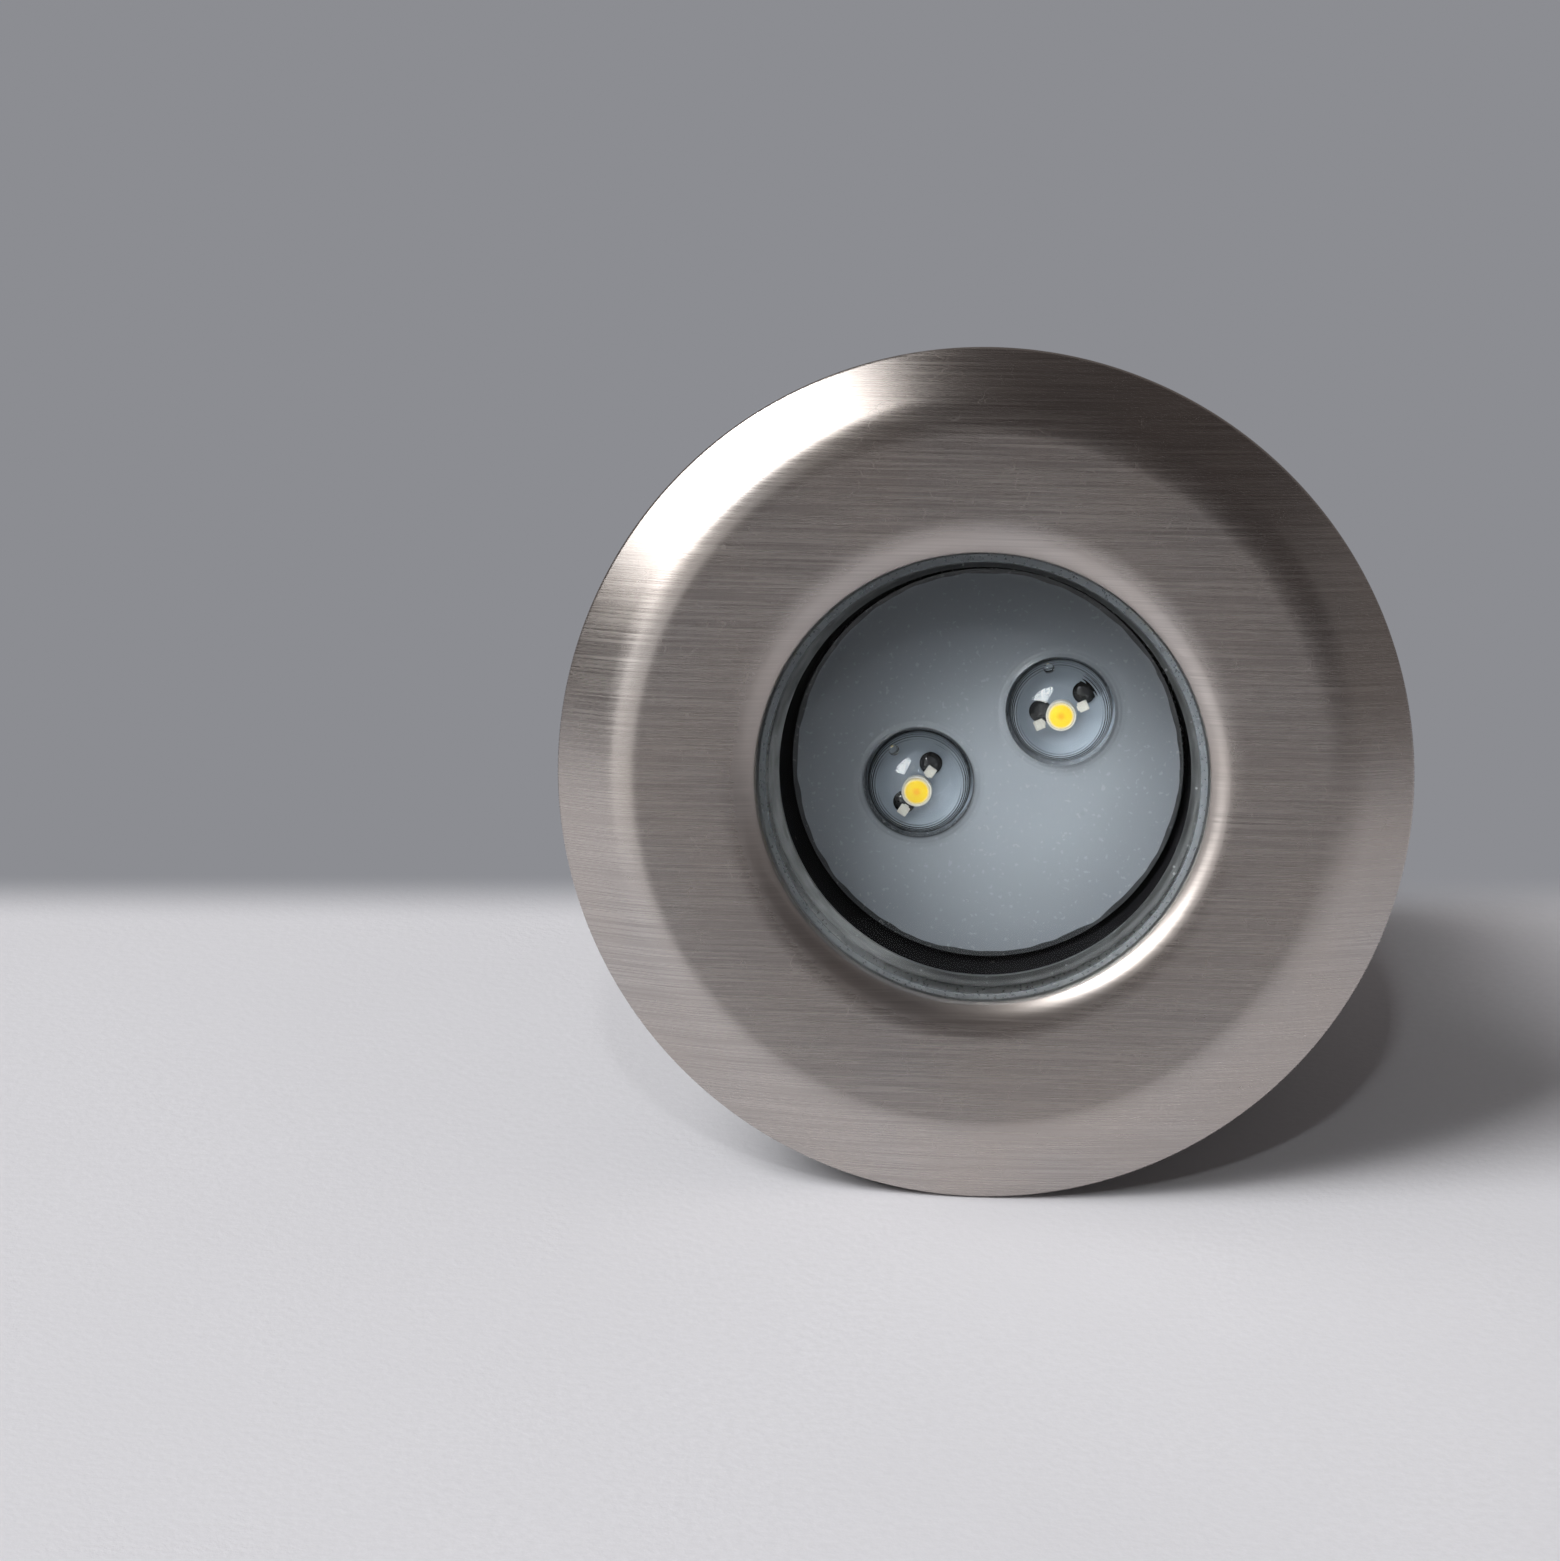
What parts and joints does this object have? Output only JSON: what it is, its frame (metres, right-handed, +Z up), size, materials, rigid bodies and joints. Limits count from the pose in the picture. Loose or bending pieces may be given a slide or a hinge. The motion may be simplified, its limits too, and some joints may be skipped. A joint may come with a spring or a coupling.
{
  "type": "recessed ground spotlight",
  "caption": "Round recessed ground spotlight with a brushed steel bezel, thick glass, small lensed LEDs and a ribbed housing with a cable gland.",
  "frame": {"origin": "middle of the footprint, on the surface that the lamp stands on", "axes": "-Y the way the glass faces, seen from above, with the lamp leaned back by 11.3 degrees on its rim and its two lowest ribs; +Z up; +X to the right of someone who looks at the glass"},
  "size_m": [0.0998, 0.1036, 0.098],
  "materials": {
    "brushed_steel": "brushed in straight parallel lines",
    "black_nylon": "moulded, matt",
    "plated_screw": "zinc plated",
    "clear_glass": "clear, polished, with a small chamfer",
    "grey_silicone": "satin",
    "black_rubber": "matt",
    "potting_resin": "cast, satin, blue grey",
    "clear_plastic": "clear, moulded",
    "led_ceramic": "white, satin",
    "led_phosphor": "yellow, satin",
    "tinned_lead": "tinned, satin",
    "aluminium": "machined",
    "red_wire": "satin",
    "black_wire": "satin",
    "green_board": "solder mask",
    "capacitor_sleeve": "shrunk sleeve",
    "ferrite": "matt",
    "chip_resin": "matt",
    "white_nylon": "moulded, satin",
    "grey_nylon": "moulded, satin"
  },
  "bodies": {
    "root": {"bezel": "brushed_steel", "bezel_carrier": "black_nylon", "carrier_screw_1": "plated_screw", "carrier_screw_2": "plated_screw", "carrier_screw_3": "plated_screw", "carrier_screw_4": "plated_screw", "glass": "clear_glass", "glass_gasket": "grey_silicone", "light_well": "black_nylon", "housing": "black_nylon", "sleeve_o_ring": "black_rubber", "potting_compound": "potting_resin", "lens_cap_left": "clear_plastic", "lens_cap_right": "clear_plastic", "led_base_left": "led_ceramic", "led_base_right": "led_ceramic", "phosphor_left": "led_phosphor", "phosphor_right": "led_phosphor", "lead_left_upper": "tinned_lead", "lead_left_lower": "tinned_lead", "lead_right_upper": "tinned_lead", "lead_right_lower": "tinned_lead", "lead_bush_left_upper": "black_rubber", "lead_bush_left_lower": "black_rubber", "lead_bush_right_upper": "black_rubber", "lead_bush_right_lower": "black_rubber", "led_board": "aluminium", "led_board_screw_1": "plated_screw", "led_board_screw_2": "plated_screw", "heat_sink": "aluminium", "led_wire_positive": "red_wire", "led_wire_negative": "black_wire", "driver_board": "green_board", "driver_screw_1": "plated_screw", "driver_screw_2": "plated_screw", "driver_screw_3": "plated_screw", "capacitor": "capacitor_sleeve", "choke": "ferrite", "rectifier": "chip_resin", "terminal_block": "white_nylon", "rear_cover": "black_nylon", "cover_o_ring": "black_rubber", "cover_screw_1": "plated_screw", "cover_screw_2": "plated_screw", "cover_screw_3": "plated_screw", "cover_screw_4": "plated_screw", "gland_body": "grey_nylon", "gland_washer": "black_rubber", "gland_locknut": "grey_nylon", "gland_insert": "black_rubber", "gland_nut": "grey_nylon"}
  },
  "joints": []
}
